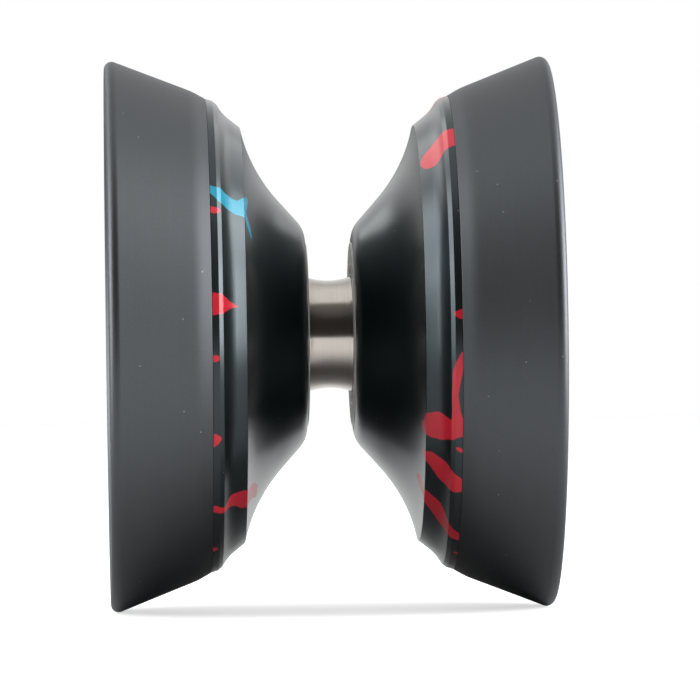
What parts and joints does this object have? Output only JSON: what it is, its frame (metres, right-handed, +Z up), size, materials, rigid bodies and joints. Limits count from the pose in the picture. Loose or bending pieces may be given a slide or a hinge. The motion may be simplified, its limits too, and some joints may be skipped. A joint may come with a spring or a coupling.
{
  "type": "yo-yo",
  "caption": "Ball-bearing throw yo-yo: two flared, turned metal halves with separate rim rings, joined by a set screw through a bearing that carries the string.",
  "frame": {"origin": "centre of the ball bearing, in the middle plane between the two halves", "axes": "+X along the axle towards the right half, +Z up, the pictured side faces -Y"},
  "size_m": [0.0454, 0.0564, 0.0564],
  "materials": {
    "anodised_body": "polished, black gloss anodise with red and blue dye splashes",
    "rim_ring": "fine matte blast, charcoal anodise",
    "response_pad": "smooth pale silicone",
    "axle_steel": "black oxide",
    "bearing_race": "fine ground",
    "bearing_ball": "lapped mirror",
    "bearing_cage": "machined",
    "bearing_shield": "pressed sheet, satin",
    "snap_ring": "bright spring wire"
  },
  "bodies": {
    "bearing_outer": {"bearing_outer_race": "bearing_race", "left_bearing_shield": "bearing_shield", "right_bearing_shield": "bearing_shield", "left_shield_snap_ring": "snap_ring", "right_shield_snap_ring": "snap_ring"},
    "ball_set": {"bearing_balls": "bearing_ball", "bearing_cage": "bearing_cage"},
    "left_half": {"left_body": "anodised_body", "left_rim_ring": "rim_ring", "left_response_pad": "response_pad", "bearing_inner_race": "bearing_race"},
    "axle": {"axle_screw": "axle_steel"},
    "right_half": {"right_body": "anodised_body", "right_rim_ring": "rim_ring", "right_response_pad": "response_pad"}
  },
  "joints": [
    {"name": "spin", "type": "hinge", "parent": "bearing_outer", "child": "left_half", "pos_m": [0, 0, 0], "axis": [1, 0, 0], "continuous": true},
    {"name": "ball_set_spin", "type": "hinge", "parent": "bearing_outer", "child": "ball_set", "pos_m": [0, 0, 0], "axis": [1, 0, 0], "continuous": true},
    {"name": "unscrew", "type": "hinge", "parent": "left_half", "child": "axle", "pos_m": [0, 0, 0], "axis": [1, 0, 0], "range_deg": [0, 4320]},
    {"name": "draw_off", "type": "slide", "parent": "axle", "child": "right_half", "axis": [1, 0, 0], "range_m": [0, 0.0084]}
  ],
  "couplings": [
    {"joint": "ball_set_spin", "follows": "spin", "ratio": 0.40539},
    {"joint": "draw_off", "follows": "unscrew", "m_per_rad": 0.00011141}
  ]
}
